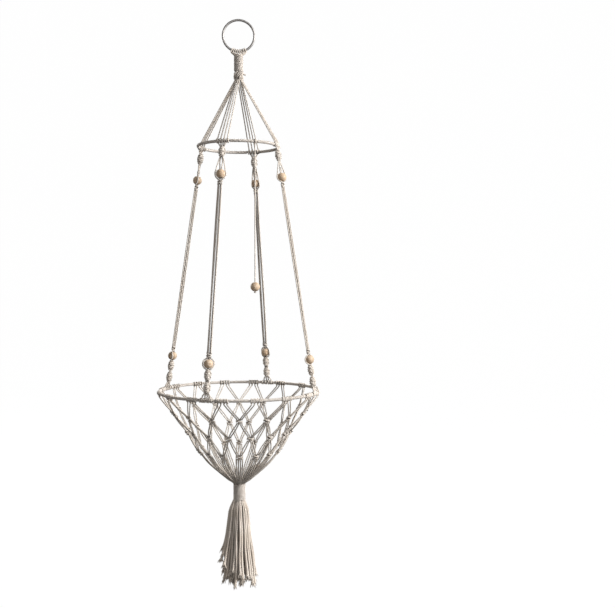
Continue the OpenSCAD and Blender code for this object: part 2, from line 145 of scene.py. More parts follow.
CAMERA_PLACE = Vector((0.0, -1.6, -0.456))
CAMERA_YAW = math.radians(4.33)
CAMERA_PITCH = math.radians(-1.42)

camera = bpy.data.objects.new("camera", bpy.data.cameras.new("camera"))
scene.collection.objects.link(camera)
camera.data.lens = 52.9
camera.data.sensor_width = 36.0
camera.location = CAMERA_PLACE
camera.rotation_euler = (math.pi / 2 + CAMERA_PITCH, 0.0, -CAMERA_YAW)
scene.camera = camera


def area_light(name, place, target, size, power, colour=(1.0, 1.0, 1.0)):
    """A soft square light that points from its place to its target, in metres."""
    data = bpy.data.lights.new(name, "AREA")
    data.shape = "SQUARE"
    data.size = size
    data.energy = power
    data.color = colour
    lamp = bpy.data.objects.new(name, data)
    scene.collection.objects.link(lamp)
    lamp.location = place
    lamp.rotation_mode = "QUATERNION"
    lamp.rotation_quaternion = (Vector(target) - Vector(place)).to_track_quat("-Z", "Y")
    return lamp


area_light("key", (2.3, -0.75, 0.55), (0.0, 0.0, -0.5), 0.8, 118.0, (1.0, 0.985, 0.97))
area_light("fill", (0.5, -2.6, 0.2), (0.0, 0.0, -0.5), 1.6, 21.0, (1.0, 0.98, 0.97))
area_light("back", (0.9, 2.2, 0.6), (0.0, 0.0, -0.5), 1.4, 24.0)
area_light("rear_left", (-1.6, 2.0, 0.3), (0.0, 0.0, -0.5), 1.6, 42.0)

world = bpy.data.worlds.new("studio")
scene.world = world
world.use_nodes = True
world.node_tree.nodes["Background"].inputs["Color"].default_value = (1.0, 0.97, 0.94, 1.0)
world.node_tree.nodes["Background"].inputs["Strength"].default_value = 0.15


# ---------------------------------------------------------------- Materials
def new_material(name):
    material = bpy.data.materials.new(name)
    material.use_nodes = True
    tree = material.node_tree
    return material, tree, tree.nodes["Principled BSDF"]


def noise(tree, vector, scale, detail=3.0, roughness=0.55):
    """A noise texture on a vector, as its factor socket."""
    node = tree.nodes.new("ShaderNodeTexNoise")
    node.inputs["Scale"].default_value = scale
    node.inputs["Detail"].default_value = detail
    node.inputs["Roughness"].default_value = roughness
    tree.links.new(vector, node.inputs["Vector"])
    return node.outputs["Fac"]


def stretched(tree, vector, scale):
    """The vector with each axis scaled."""
    node = tree.nodes.new("ShaderNodeMapping")
    node.inputs["Scale"].default_value = scale
    tree.links.new(vector, node.inputs["Vector"])
    return node.outputs["Vector"]


def ramp(tree, factor, stops):
    """Colours along a factor, from (place, colour) pairs."""
    node = tree.nodes.new("ShaderNodeValToRGB")
    while len(node.color_ramp.elements) < len(stops):
        node.color_ramp.elements.new(0.5)
    for element, (place, colour) in zip(node.color_ramp.elements, stops):
        element.position = place
        element.color = (*colour, 1.0)
    tree.links.new(factor, node.inputs["Fac"])
    return node.outputs["Color"]


def mixed(tree, kind, amount, a, b):
    """Two colours put together; the amount is a number or a socket."""
    node = tree.nodes.new("ShaderNodeMix")
    node.data_type = "RGBA"
    node.blend_type = kind
    if isinstance(amount, float):
        node.inputs[0].default_value = amount
    else:
        tree.links.new(amount, node.inputs[0])
    for source, socket in ((a, node.inputs[6]), (b, node.inputs[7])):
        if isinstance(source, tuple):
            socket.default_value = (*source, 1.0)
        else:
            tree.links.new(source, socket)
    return node.outputs[2]


def ranged(tree, value, low, high, start=0.0, end=1.0):
    """A value carried from start..end to low..high."""
    node = tree.nodes.new("ShaderNodeMapRange")
    node.inputs["From Min"].default_value = start
    node.inputs["From Max"].default_value = end
    node.inputs["To Min"].default_value = low
    node.inputs["To Max"].default_value = high
    tree.links.new(value, node.inputs["Value"])
    return node.outputs["Result"]


def bumped(tree, shader, height, strength, distance):
    node = tree.nodes.new("ShaderNodeBump")
    node.inputs["Strength"].default_value = strength
    node.inputs["Distance"].default_value = distance
    tree.links.new(height, node.inputs["Height"])
    tree.links.new(node.outputs["Normal"], shader.inputs["Normal"])


def math_node(tree, kind, a, b=None):
    node = tree.nodes.new("ShaderNodeMath")
    node.operation = kind
    for source, socket in ((a, node.inputs[0]), (b, node.inputs[1])):
        if isinstance(source, (int, float)):
            socket.default_value = source
        elif source is not None:
            tree.links.new(source, socket)
    return node.outputs[0]


# How far the painted shade between touching cords reaches, in metres
NOOK_REACH = 0.006


def cotton(name, light, shade, groove, nook_shade_colour, fuzz=1.0):
    """Twisted cotton: fine fibres along the plies, painted shade in the grooves between them and where cords
    touch, soft uneven dye.
    """
    material, tree, shader = new_material(name)
    lay = tree.nodes.new("ShaderNodeUVMap")
    lay.uv_map = "Lay"
    place = tree.nodes.new("ShaderNodeTexCoord").outputs["Object"]
    # How deep a point lies in a groove, from the way round the cord
    split = tree.nodes.new("ShaderNodeSeparateXYZ")
    tree.links.new(lay.outputs["UV"], split.inputs["Vector"])
    wave = math_node(tree, "COSINE", math_node(tree, "MULTIPLY", split.outputs["Y"], 6 * math.pi))
    depth = math_node(tree, "POWER", ranged(tree, wave, 0.0, 1.0, -0.2, 1.0), 1.6)
    fibres = noise(tree, stretched(tree, lay.outputs["UV"], (9.0, 34.0, 1.0)), 1.0, 5.0, 0.7)
    blotches = noise(tree, place, 38.0, 3.0)
    specks = noise(tree, place, 900.0, 2.0, 0.6)
    dye = ramp(tree, blotches, [(0.32, shade), (0.66, light)])
    worn = mixed(tree, "MULTIPLY", ranged(tree, fibres, 0.0, 0.5, 0.45, 0.8), dye, (0.84, 0.78, 0.69))
    flecked = mixed(tree, "MULTIPLY", ranged(tree, specks, 0.0, 0.45, 0.56, 0.72), worn, (0.83, 0.77, 0.69))
    # Painted shade: the grooves between the plies are darkened toward the groove colour
    groove_shaded = mixed(tree, "MIX", math_node(tree, "MULTIPLY", depth, 0.65), flecked, groove)
    # Painted shade where cords lie against each other: an ambient occlusion node darkens the colour toward a
    # dark shade colour
    nook = tree.nodes.new("ShaderNodeAmbientOcclusion")
    nook.samples = 6
    nook.inputs["Distance"].default_value = NOOK_REACH
    nook_shade_share = ranged(tree, nook.outputs["AO"], 0.85, 0.0, 0.15, 0.85)
    colour = mixed(tree, "MIX", nook_shade_share, groove_shaded, nook_shade_colour)
    tree.links.new(colour, shader.inputs["Base Color"])
    tree.links.new(ranged(tree, fibres, 0.78, 0.98), shader.inputs["Roughness"])
    shader.inputs["Sheen Weight"].default_value = 0.25 * fuzz
    shader.inputs["Sheen Roughness"].default_value = 0.45
    shader.inputs["Sheen Tint"].default_value = (1.0, 0.97, 0.92, 1.0)
    shader.inputs["Specular IOR Level"].default_value = 0.25
    height = math_node(tree, "SUBTRACT", fibres, math_node(tree, "MULTIPLY", depth, 0.6))
    bumped(tree, shader, height, 0.45 * fuzz, 0.0003)
    return material


def wood(name):
    """Pale turned wood: rings of grain, darker pores, a thin satin finish."""
    material, tree, shader = new_material(name)
    own = tree.nodes.new("ShaderNodeAttribute")
    own.attribute_name = "grain"
    along = stretched(tree, own.outputs["Vector"], (300.0, 300.0, 60.0))
    bend = noise(tree, stretched(tree, own.outputs["Vector"], (90.0, 90.0, 30.0)), 1.0, 2.0)
    rings = tree.nodes.new("ShaderNodeTexWave")
    rings.wave_type = "RINGS"
    rings.rings_direction = "Z"
    rings.inputs["Scale"].default_value = 0.55
    rings.inputs["Distortion"].default_value = 5.0
    rings.inputs["Detail"].default_value = 3.0
    tree.links.new(along, rings.inputs["Vector"])
    pores = noise(tree, stretched(tree, own.outputs["Vector"], (1500.0, 1500.0, 170.0)), 1.0, 4.0, 0.7)
    tones = [(0.3, (0.52, 0.40, 0.28)), (0.55, (0.68, 0.56, 0.43)), (0.8, (0.78, 0.68, 0.55))]
    base = ramp(tree, bend, tones)
    ringed = ranged(tree, rings.outputs["Fac"], 0.0, 0.75)
    grained = mixed(tree, "MULTIPLY", ringed, base, (0.62, 0.47, 0.32))
    pored = mixed(tree, "MULTIPLY", ranged(tree, pores, 0.0, 0.8, 0.52, 0.72), grained, (0.50, 0.36, 0.23))
    tree.links.new(pored, shader.inputs["Base Color"])
    tree.links.new(ranged(tree, pores, 0.5, 0.7), shader.inputs["Roughness"])
    shader.inputs["Coat Weight"].default_value = 0.05
    shader.inputs["Coat Roughness"].default_value = 0.35
    bumped(tree, shader, pores, 0.25, 0.0002)
    return material


def metal(name, colour, roughness, metallic, brushed):
    """Metal wire: fine lengthwise drawing marks and faint smudges."""
    material, tree, shader = new_material(name)
    place = tree.nodes.new("ShaderNodeTexCoord").outputs["Object"]
    smudge = noise(tree, place, 120.0, 3.0)
    marks = noise(tree, stretched(tree, place, (2600.0, 5200.0, 2600.0)), 1.0, 2.0)
    dull = tuple(0.82 * c for c in colour)
    tint = ramp(tree, smudge, [(0.3, dull), (0.7, colour)])
    tree.links.new(tint, shader.inputs["Base Color"])
    shader.inputs["Metallic"].default_value = metallic
    smeared, drawn = ranged(tree, smudge, -0.07, 0.09), ranged(tree, marks, roughness, roughness + 0.1)
    rough = math_node(tree, "ADD", smeared, drawn)
    tree.links.new(rough, shader.inputs["Roughness"])
    bumped(tree, shader, marks, brushed, 0.0001)
    return material


# Colour of the painted shade where cotton cords lie against each other
NOOK_SHADE = (0.10, 0.072, 0.05)
# The third colour of each cotton is the painted shade in the grooves between its plies
CORD = cotton("cotton_cord", (0.88, 0.84, 0.79), (0.77, 0.71, 0.64), (0.34, 0.27, 0.21), NOOK_SHADE)
KNOT = cotton("cotton_knot", (0.88, 0.84, 0.79), (0.76, 0.70, 0.63), (0.28, 0.21, 0.16), NOOK_SHADE)
# A lighter painted shade for the close windings
WRAP_NOOK_SHADE = (0.20, 0.155, 0.12)
WRAP = cotton("cotton_wrap", (0.86, 0.82, 0.78), (0.78, 0.735, 0.685), (0.40, 0.34, 0.28), WRAP_NOOK_SHADE, 0.5)
FRINGE = cotton("cotton_fringe", (0.87, 0.81, 0.74), (0.75, 0.67, 0.58), (0.27, 0.20, 0.15), NOOK_SHADE, 1.2)
WOOD = wood("bead_wood")
STEEL = metal("brushed_steel", (0.40, 0.385, 0.375), 0.5, 0.9, 0.05)
PAINT = metal("painted_wire", (0.62, 0.61, 0.59), 0.45, 0.2, 0.05)

# ---------------------------------------------------------------- Making tubes of twisted cord
LAY = 8.2
STEP = 1.25
LOBE_R = 0.58
LOBE_OUT = 0.48
# Loose fibres make a cord look a little thicker than its core
FLUFF = 1.04
# Corners of the three-ply section: a groove, then two points on the ply, three times over
PLY_ANGLES = [-60.0, -21.0, 21.0]


def ply_radius(angle):
    """Radius of one ply's outline at an angle from its middle, for a cord of radius 1."""
    a = math.radians(angle)
    return LOBE_OUT * math.cos(a) + math.sqrt(LOBE_R**2 - (LOBE_OUT * math.sin(a)) ** 2)


SECTION_A = np.radians([120.0 * k + a for k in range(3) for a in PLY_ANGLES])
SECTION_R = FLUFF * np.array([ply_radius(a) for _ in range(3) for a in PLY_ANGLES])


def arr(points):
    return np.asarray(points, float).reshape(-1, 3)


def spline(points, step=STEP):
    """Evenly spaced points on a smooth curve through the given points."""
    p = arr(points)
    ends = np.vstack([2 * p[0] - p[1], p, 2 * p[-1] - p[-2]])
    t = np.linspace(0.0, 1.0, 9)[:-1, None]
    parts = []
    for i in range(len(p) - 1):
        a, b, c, d = ends[i : i + 4]
        square, cube = 2 * a - 5 * b + 4 * c - d, 3 * b - a - 3 * c + d
        parts.append(0.5 * (2 * b + (c - a) * t + square * t**2 + cube * t**3))
    return even(np.vstack([*parts, p[-1:]]), step)


def even(dense, step=STEP):
    """The same line with its points a step apart."""
    gone = np.r_[0.0, np.cumsum(np.linalg.norm(np.diff(dense, axis=0), axis=1))]
    count = max(4, int(round(gone[-1] / step)) + 1)
    at = np.linspace(0.0, gone[-1], count)
    return np.column_stack([np.interp(at, gone, dense[:, k]) for k in range(3)])


def normals_of(path, out):
    """Tangents, and normals that turn as little as they can, or that follow out."""
    t = np.gradient(path, axis=0)
    t /= np.linalg.norm(t, axis=1)[:, None]
    if out is not None:
        n = out - (out * t).sum(1)[:, None] * t
        return t, n / np.linalg.norm(n, axis=1)[:, None]
    n = np.empty_like(t)
    now = np.eye(3)[np.argmin(np.abs(t[0]))]
    for i, way in enumerate(t):
        now = now - now.dot(way) * way
        now = now / math.sqrt(now.dot(now))
        n[i] = now
    return t, n


class Build:
    """Collects closed shapes, in mm, and makes one piece of them."""

    def __init__(self):
        self.points, self.faces, self.uvs, self.extra = [], [], [], []
        self.count = 0

    def grid(self, rings, along, closed=False):
        """Skins rings of points; open ones get flat ends."""
        n, sides = rings.shape[:2]
        base = self.count
        self.points.append(rings.reshape(-1, 3))
        self.count += n * sides
        rows = n if closed else n - 1
        i, k = np.meshgrid(np.arange(rows), np.arange(sides), indexing="ij")
        j, m = (i + 1) % n, (k + 1) % sides
        quads = np.stack([i * sides + k, i * sides + m, j * sides + m, j * sides + k], -1) + base
        self.faces.extend(quads.reshape(-1, 4).tolist())
        s = np.r_[along, 2 * along[-1] - along[-2]] / 10.0
        u = np.stack([s[i], s[i], s[i + 1], s[i + 1]], -1)
        v = np.stack([k, k + 1, k + 1, k], -1) / sides
        self.uvs.append(np.stack([u, v], -1).reshape(-1, 2))
        if not closed:
            for ring, order in ((0, range(sides - 1, -1, -1)), (n - 1, range(sides))):
                self.faces.append([base + ring * sides + q for q in order])
                self.uvs.append(np.full((sides, 2), 0.17))

    def cord(self, path, d=CORD_D, depth=None, out=None, lay=LAY, taper=((0.0, 1.0), (1.0, 1.0))):
        """A twisted cord along evenly spaced points, flattened to depth along its normal.

        taper gives shares of its length, and its thickness there as shares of d."""
        path = arr(path)
        t, n = normals_of(path, out)
        b = np.cross(t, n)
        gone = np.r_[0.0, np.cumsum(np.linalg.norm(np.diff(path, axis=0), axis=1))]
        # A short rounded end at each side
        path = np.vstack([path[:1] - t[:1] * 0.2 * d, path, path[-1:] + t[-1:] * 0.2 * d])
        gone = np.r_[gone[0] - 0.2 * d, gone, gone[-1] + 0.2 * d]
        n, b = (np.vstack([x[:1], x, x[-1:]]) for x in (n, b))
        size = np.ones(len(path))
        size[0], size[-1] = 0.6, 0.6
        size *= np.interp(np.linspace(0, 1, len(path)), *taper)
        phase = rng.uniform(0, 2 * math.pi)
        a = SECTION_A[None, :] + (phase + 2 * math.pi * gone / lay)[:, None]
        reach = SECTION_R[None, :] * size[:, None] / 2
        across = (reach * np.cos(a) * (depth or d))[..., None] * n[:, None, :]
        beside = (reach * np.sin(a) * d)[..., None] * b[:, None, :]
        self.grid(path[:, None, :] + across + beside, gone)

    def lathe(self, profile, put=None, segments=32, closed=False, wobble=0.0):
        """Turns (radius, height) points about Z, and puts the shape in place."""
        p = np.asarray(profile, float)
        a = np.linspace(0, 2 * math.pi, segments, endpoint=False)[::-1]
        r = p[:, 0][:, None] * (1 + wobble * np.sin(3 * a + p[:, 1][:, None] * 0.7))
        rings = np.stack([r * np.cos(a), r * np.sin(a), np.repeat(p[:, 1][:, None], segments, 1)], -1)
        shape = rings.shape
        self.extra.append(rings.reshape(-1, 3).copy())
        placed = put(rings.reshape(-1, 3)).reshape(shape) if put else rings
        self.grid(placed, np.arange(len(p)) * 1.0, closed)

    def make(self, name, body, material, slot, replaced=(), grain=None):
        """The finished piece, riding on its body."""
        mesh = bpy.data.meshes.new(name)
        mesh.from_pydata((np.vstack(self.points) * MM).tolist(), [], self.faces)
        mesh.polygons.foreach_set("use_smooth", np.ones(len(mesh.polygons), bool))
        layer = mesh.uv_layers.new(name="Lay")
        layer.data.foreach_set("uv", np.vstack(self.uvs).ravel().astype(np.float32))
        if grain is not None:
            own = mesh.attributes.new("grain", "FLOAT_VECTOR", "POINT")
            own.data.foreach_set("vector", ((np.vstack(self.extra) + grain) * MM).ravel().astype(np.float32))
        mesh.update()
        mesh.materials.append(material)
        piece = bpy.data.objects.new(name, mesh)
        scene.collection.objects.link(piece)
        if body:
            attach(piece, body)
        if replaced:
            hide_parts(*replaced)
        return piece


# ---------------------------------------------------------------- Places
def place(angle, r, z, lean=0.0):
    """Carries local points to the row frame: x across, y outward, z down along a lean from upright."""
    a, t = math.radians(angle), math.radians(lean)
    outward = np.array([math.sin(a), -math.cos(a), 0.0])
    across = np.array([math.cos(a), math.sin(a), 0.0])
    up = np.array([0.0, 0.0, 1.0])
    c, s = math.cos(t), math.sin(t)
    axes = np.array([across, outward * c + up * s, outward * s - up * c])
    return lambda points: r * outward + z * up + arr(points) @ axes


def on_leg(leg):
    return place(LEGS[leg], UPPER_R, UPPER_Z, LEG_TILT)


def lowered(put, z):
    """The same place, with its origin z further down its own axis."""
    return lambda points: put(arr(points) + [0, 0, z])


def on_ring(r, z, angle, x, rho, theta):
    """Points round a ring's wire: x along it, rho from its middle, theta from outward to up."""
    a = np.radians(angle) + np.asarray(x, float) / r
    reach = r + rho * np.cos(theta)
    return np.column_stack([reach * np.sin(a), -reach * np.cos(a), z + rho * np.sin(theta)])


def ring_out(r, angle, x, theta):
    """Directions away from a ring's wire at the same points."""
    a = np.radians(angle) + np.asarray(x, float) / r
    return np.column_stack([np.cos(theta) * np.sin(a), -np.cos(theta) * np.cos(a), np.sin(theta)])


# ---------------------------------------------------------------- Knots, hitches and windings
FILLER_X = 1.3


def knot_paths(w, front, h, count, top_x, swell=None):
    """The two working cords of a run of square knots, top at the origin: one always passes in
    front of the fillers, the other always behind. swell(share of height) widens the run."""
    swell = swell or (lambda s: 1.0)
    d = CORD_D
    unit = h / count
    lead, trail = [(-top_x, 0.0, 0.0)], [(top_x, 0.0, 0.0)]
    side = 1
    for q in range(2 * count):
        z = (q + 0.5) * unit / 2
        for dx, y, dz in ((-0.86, 0.42, -0.16), (0.0, 1.0, 0.0), (0.86, 0.30, 0.16)):
            f = swell(min(1.0, max(0.0, (z + dz * unit) / h)))
            lead.append((side * dx * w * f, y * front * f, z + dz * unit))
            trail.append((-side * dx * w * f, -y * front * f, z + dz * unit))
        if q < 2 * count - 1:
            f = swell((z + unit / 4) / h)
            lead.append((side * w * f, -0.16 * d, z + unit / 4))
            trail.append((-side * w * f, 0.16 * d, z + unit / 4))
        side = -side
    lead.append((-top_x, 0.0, h))
    trail.append((top_x, 0.0, h))
    return lead, trail


def square_knot(build, put, h=KNOT_H, top_x=3.6, wide=KNOT_D):
    """One square knot over two fillers."""
    w = wide / 2 - CORD_D / 2 + 0.15
    for path in knot_paths(w, 2.35, h, 1, top_x):
        build.cord(spline(put(path), 0.9))
    for side in (-1, 1):
        x = side * FILLER_X
        build.cord(spline(put([(x, 0, -0.6), (x, 0, h / 2), (x, 0, h + 0.6)])))


def berry(build, put, length, knots=3):
    """A ball of half knots: working cords over a core that swells in the middle."""
    half = BERRY_D / 2

    def swell(s):
        return 0.40 + 0.60 * math.sin(math.pi * min(1.0, max(0.0, s))) ** 0.75

    for path in knot_paths(half - CORD_D / 2, half - CORD_D / 2 - 0.6, length, knots, 2.2, swell):
        build.cord(spline(put(path), 1.0), CORD_D * 1.08)
    core = [(0.01, 0.4)]
    for s in np.linspace(0.02, 0.98, 9):
        core.append(((half - CORD_D * 0.82) * swell(s), s * length))
    core.append((0.01, length - 0.4))
    build.lathe(core, put, 20, wobble=0.03)
    # The fillers show as a loop that closes the ball
    for side in (-1, 1):
        x = side * FILLER_X
        bulge = half - CORD_D * 0.7
        build.cord(spline(put([
            (x, 0, -0.5), (x * 1.4, bulge * 0.55, length * 0.16), (x * 1.5, bulge * 0.8, length * 0.5),
            (x * 1.4, bulge * 0.55, length * 0.84), (x, 0, length + 0.5),
        ])))


def hitch(r, z, angle, x_from, x_to, start, end, turns=1.0, rho=None):
    """A cord that winds round a ring between two leads given in the row frame."""
    rho = rho or (WIRE_D + CORD_D) / 2 + 0.35
    theta0 = math.radians(55.0)
    theta1 = math.radians(-75.0) - 2 * math.pi * turns
    theta = np.linspace(theta0, theta1, int(18 * (turns + 0.4)))
    x = np.linspace(x_from, x_to, len(theta))
    wound = on_ring(r, z, angle, x, rho, theta)
    return spline(np.vstack([arr(start), wound, arr(end)]), 1.0), CORD_D * 1.06


def winding(build, r, z, angle_a, angle_b, pitch=2.1):
    """A cord wound close round a ring between two angles."""
    span = math.radians(angle_b - angle_a) * r
    turns = max(1.0, round(span / pitch))
    d = span / turns * 0.93
    x = np.linspace(-span / 2 + d * 0.4, span / 2 - d * 0.4, int(turns * 14) + 1)
    theta = 2 * math.pi * turns * np.linspace(0.0, 1.0, len(x))
    rho = (WIRE_D + COVER_T) / 2
    middle = (angle_a + angle_b) / 2
    build.cord(on_ring(r, z, middle, x, rho, theta), d, COVER_T, ring_out(r, middle, x, theta), lay=7.0)


def coil(build, r, z_top, z_end, pitch=2.42, wander=0.0):
    """A cord wound close round an upright bundle."""
    turns = (z_top - z_end) / pitch
    theta = np.linspace(0, 2 * math.pi * turns, int(turns * 40) + 1)
    z = np.linspace(z_top - CORD_D / 2, z_end + CORD_D / 2, len(theta))
    grow = r + wander * np.sin(theta * 0.37 + 1.0)
    path = np.column_stack([grow * np.sin(theta), -grow * np.cos(theta), z + wander * np.sin(theta)])
    out = np.column_stack([np.sin(theta), -np.cos(theta), 0 * theta])
    build.cord(path, CORD_D, CORD_D * 0.96, out)


# ---------------------------------------------------------------- The free cord comes first
toy_put = place(TOY_ANGLE, UPPER_R, UPPER_Z)
toy_points = toy_put([(0, 0, -z) for z in TOY_ROUTE])
toy_end_z = UPPER_Z + TOY_ROUTE[-1]

toy = Build()
toy.cord(spline(toy_points))
hanging_cord = toy.make("hanging_cord", "toy", CORD, "cotton_cord", ["toy_cord"])


def bead_profile(d, l, bore):
    """Outline of a turned bead with eased edges at its hole."""
    r, half, hole = d / 2, l / 2, bore / 2
    ease = 0.55
    turn = math.asin(half / r)
    outer = [
        (r * math.cos(a), r * math.sin(a))
        for a in np.linspace(-turn + 0.06, turn - 0.06, 22)
    ]
    low = [(hole, -half + ease), (hole + 0.16, -half + 0.18), (hole + ease, -half)]
    high = [(hole + ease, half), (hole + 0.16, half - 0.18), (hole, half - ease)]
    return low + outer + high


def make_bead(name, body, node, put, d=BEAD_D, l=BEAD_L, bore=BORE_D):
    made = Build()
    made.lathe(bead_profile(d, l, bore), put, 40, closed=True, wobble=0.006)
    grain = np.array([rng.uniform(-60, 60) for _ in range(3)])
    return made.make(name, body, WOOD, "bead_wood", [node], grain=grain)


toy_bead_put = place(TOY_ANGLE, UPPER_R, TOY_BEAD_Z)
hanging_bead = make_bead(
    "hanging_bead", "toy_bead", "toy_bead", toy_bead_put, TOY_BEAD_D, TOY_BEAD_L, TOY_BORE_D,
)

toy_knot = Build()
knot_put = place(TOY_ANGLE, UPPER_R, toy_end_z)
ball = [
    (1.25 * math.sin(a) * (1.0 + 0.15 * math.cos(2 * a)), 1.25 * math.cos(a), 0.55 * math.sin(1.5 * a))
    for a in np.linspace(0, 4 * math.pi, 26)
]
toy_knot.cord(spline(knot_put(ball), 0.8), CORD_D * 0.8)
hanging_knot = toy_knot.make("hanging_knot", "toy", KNOT, "cotton_knot", ["toy_knot"])

toy_loop = Build()
loop_start = math.radians(-80)
theta = np.linspace(loop_start, loop_start - 4 * math.pi, 44)
turn_x = np.linspace(-1.25, 1.25, len(theta))
toy_rho = WIRE_D / 2 + 0.3 + CORD_D / 2
toy_loop.cord(spline(on_ring(UPPER_R, UPPER_Z, TOY_ANGLE, turn_x, toy_rho, theta), 1.0))
toy_loop.make("hanging_hitch", "toy", KNOT, "cotton_knot", ["toy_hitch"])

# ---------------------------------------------------------------- Metal ring, folded loops and neck
ring = Build()
ring_a = np.linspace(0, 2 * math.pi, 160, endpoint=False)
wire_a = np.linspace(0, 2 * math.pi, 24, endpoint=False)
ga, gw = np.meshgrid(ring_a, wire_a, indexing="ij")
# A low swelling at the weld, out of sight under the cords
weld = 1.0 + 0.05 * np.exp(-(((ga - 0.3) / 0.05) ** 2))
reach = TOP_RING_R + TOP_WIRE_D / 2 * weld * np.cos(gw)
ring.grid(
    np.stack([reach * np.sin(ga), TOP_WIRE_D / 2 * weld * np.sin(gw), TOP_RING_Z - reach * np.cos(ga)], -1),
    ring_a * TOP_RING_R,
    closed=True,
)
ring.make("metal_ring", "ring", STEEL, "ring_metal", ["top_ring"])

loops = Build()
LOOP_RHO = TOP_WIRE_D / 2 + CORD_D / 2 + 0.35
LOOP_DROP = 3.4
LOOP_LEG = LOOP_RHO * 0.92
for i in range(LOOPS):
    share = i - (LOOPS - 1) / 2
    a = share * LOOP_STEP
    middle = np.array([TOP_RING_R * math.sin(a), 0, TOP_RING_Z - TOP_RING_R * math.cos(a)])
    away = np.array([math.sin(a), 0, -math.cos(a)])
    x_neck = share * 1.5
    y_neck = 1.3 + 3.3 * math.sqrt(1 - (x_neck / 6.0) ** 2)
    front_lead = middle + away * LOOP_DROP + [0, -LOOP_LEG, 0]
    path = [(x_neck, -y_neck, NECK_TOP_Z - 9), (x_neck * 1.02, -y_neck * 0.96, NECK_TOP_Z - 2), front_lead]
    for turn in np.linspace(100, -100, 9):
        c, s = math.cos(math.radians(turn)), math.sin(math.radians(turn))
        path.append(middle - away * LOOP_RHO * c + np.array([0, -LOOP_RHO * s, 0]))
    path.append(middle + away * LOOP_DROP + [0, LOOP_LEG, 0])
    path += [(x_neck * 1.02, y_neck * 0.96, NECK_TOP_Z - 2), (x_neck, y_neck, NECK_TOP_Z - 9)]
    loops.cord(spline(path))
loops.make("folded_loops", "hanger", CORD, "cotton_cord", ["top_loops", "neck_core"])

neck = Build()
neck_r = NECK_D / 2 - CORD_D / 2
coil(neck, neck_r, NECK_TOP_Z, NECK_WRAP_Z)
neck.lathe([
    (0.01, NECK_Z), (5.9, NECK_Z), (6.3, NECK_WRAP_Z), (6.3, NECK_TOP_Z - 3.2), (0.01, NECK_TOP_Z - 3),
])
neck.make("neck_binding", "hanger", WRAP, "cotton_wrap", ["neck_wrap"])

tie = Build()
coil(tie, neck_r + 0.1, NECK_WRAP_Z, NECK_Z + 3.0, 2.6, 0.35)
# Cords that cross over the band, and its short cut end
for angle, lift in ((-50.0, 0.0), (35.0, 1.2), (130.0, 0.4), (220.0, 0.8)):
    put = place(angle, neck_r, NECK_WRAP_Z)
    tie.cord(spline(put([
        (-3.4, -0.5, 12.5), (-2.2, 1.3, 8.0 - lift), (0.4, 1.9, 5.0), (2.6, 1.2, 2.2), (4.0, -0.9, 0.2),
    ])))
tail_put = place(84.0, neck_r, NECK_WRAP_Z)
tail = spline(tail_put([(-1.0, 0.4, 2.0), (0.0, 2.0, 3.4), (0.6, 3.6, 4.4), (0.8, 5.2, 4.6)]), 0.8)
tie.cord(tail, taper=((0.0, 0.6, 1.0), (1.0, 1.0, 1.25)))
tie.make("neck_tie", "hanger", KNOT, "cotton_knot", ["neck_knot"])

# ---------------------------------------------------------------- Crown cords, one piece for each leg
UPPER_TOP = (WIRE_D + 2 * CORD_D) / 2 + 1.5
for leg, angle in LEGS.items():
    crown = Build()
    for i in FOUR:
        start = place(angle + i * CELL, CROWN_R, NECK_Z + 3)([(0, -1.2, 0)])[0]
        under = place(angle + i * CELL, CROWN_R, NECK_Z - 1)([(0, 0, 0)])[0]
        end = on_ring(UPPER_R, UPPER_Z, angle, [i * CROWN_SPREAD], UPPER_TOP, math.pi / 2)[0]
        line = [start, under] + [under + (end - under) * s for s in (0.03, 0.1, 0.3, 0.6, 0.9, 1.0)]
        crown.cord(spline(line))
    piece = crown.make(leg + "_crown", "hanger", CORD, "cotton_cord", [leg + "_crown_cords"])
    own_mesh(piece)

# ---------------------------------------------------------------- Upper ring
upper_cover = Build()
half_hitch = math.degrees((LEG_HITCH_W / 2 - CORD_GAP) / UPPER_R)
half_toy = math.degrees((CORD_D + CORD_GAP) / UPPER_R)
stops = sorted([(a, half_hitch) for a in LEGS.values()] + [(TOY_ANGLE, half_toy)])
stops.append((stops[0][0] + 360.0, stops[0][1]))
for (a, wa), (b, wb) in zip(stops, stops[1:]):
    winding(upper_cover, UPPER_R, UPPER_Z, a + wa, b - wb)
upper_cover.make("upper_ring_binding", "spreader", WRAP, "cotton_wrap", ["upper_ring_wrap"])

upper_ties = Build()
for leg, angle in LEGS.items():
    put = on_leg(leg)
    for i in FOUR:
        side = math.copysign(1.0, i)
        x = i * CROWN_SPREAD
        rho, theta = np.array([UPPER_TOP, 4.2]), np.array([math.pi / 2, 1.45])
        start = on_ring(UPPER_R, UPPER_Z, angle, [x, x], rho, theta)
        fan_x = i * BUNDLE_X
        end = put([(x * 0.55 + fan_x * 0.3, 1.5, 5.2), (fan_x, 0.4, BERRY_AT + 0.6)])
        upper_ties.cord(*hitch(UPPER_R, UPPER_Z, angle, x + side * 1.9, x - side * 1.9, start, end))
upper_ties.make("upper_ties", "spreader", CORD, "cotton_cord", ["upper_hitches"])

# ---------------------------------------------------------------- Legs
long_l = LOWER_KNOT_AT - LEG_CORDS_AT
# The fillers run this far to both sides of a bead's axis
CAGE_FILLER_X = 1.275
# How far each leg's cage has turned about the leg where it passes the bead, in degrees
CAGE_TURN = {"front": -42.0, "right": 34.0, "rear": 25.0, "left": -30.0}


def cage_path(bead_at, lead, end, side, from_angle, turned):
    """A working cord that passes outside a bead, between its lead and its end."""
    flat = list(lead)
    for a in np.linspace(from_angle, 56, 9):
        c, s = math.cos(math.radians(a)), math.sin(math.radians(a))
        flat.append((CAGE_R * c, bead_at + CAGE_R * s))
    flat.append(end)
    path = []
    for x, z in flat:
        # The turn is greatest at the bead, and gone where the cord is tied
        way = (z - bead_at) / (flat[0][1] - bead_at if z < bead_at else end[1] - bead_at)
        a = math.radians(turned * (1 - min(1.0, way) ** 2))
        path.append((side * x * math.cos(a), side * x * math.sin(a), z))
    return path


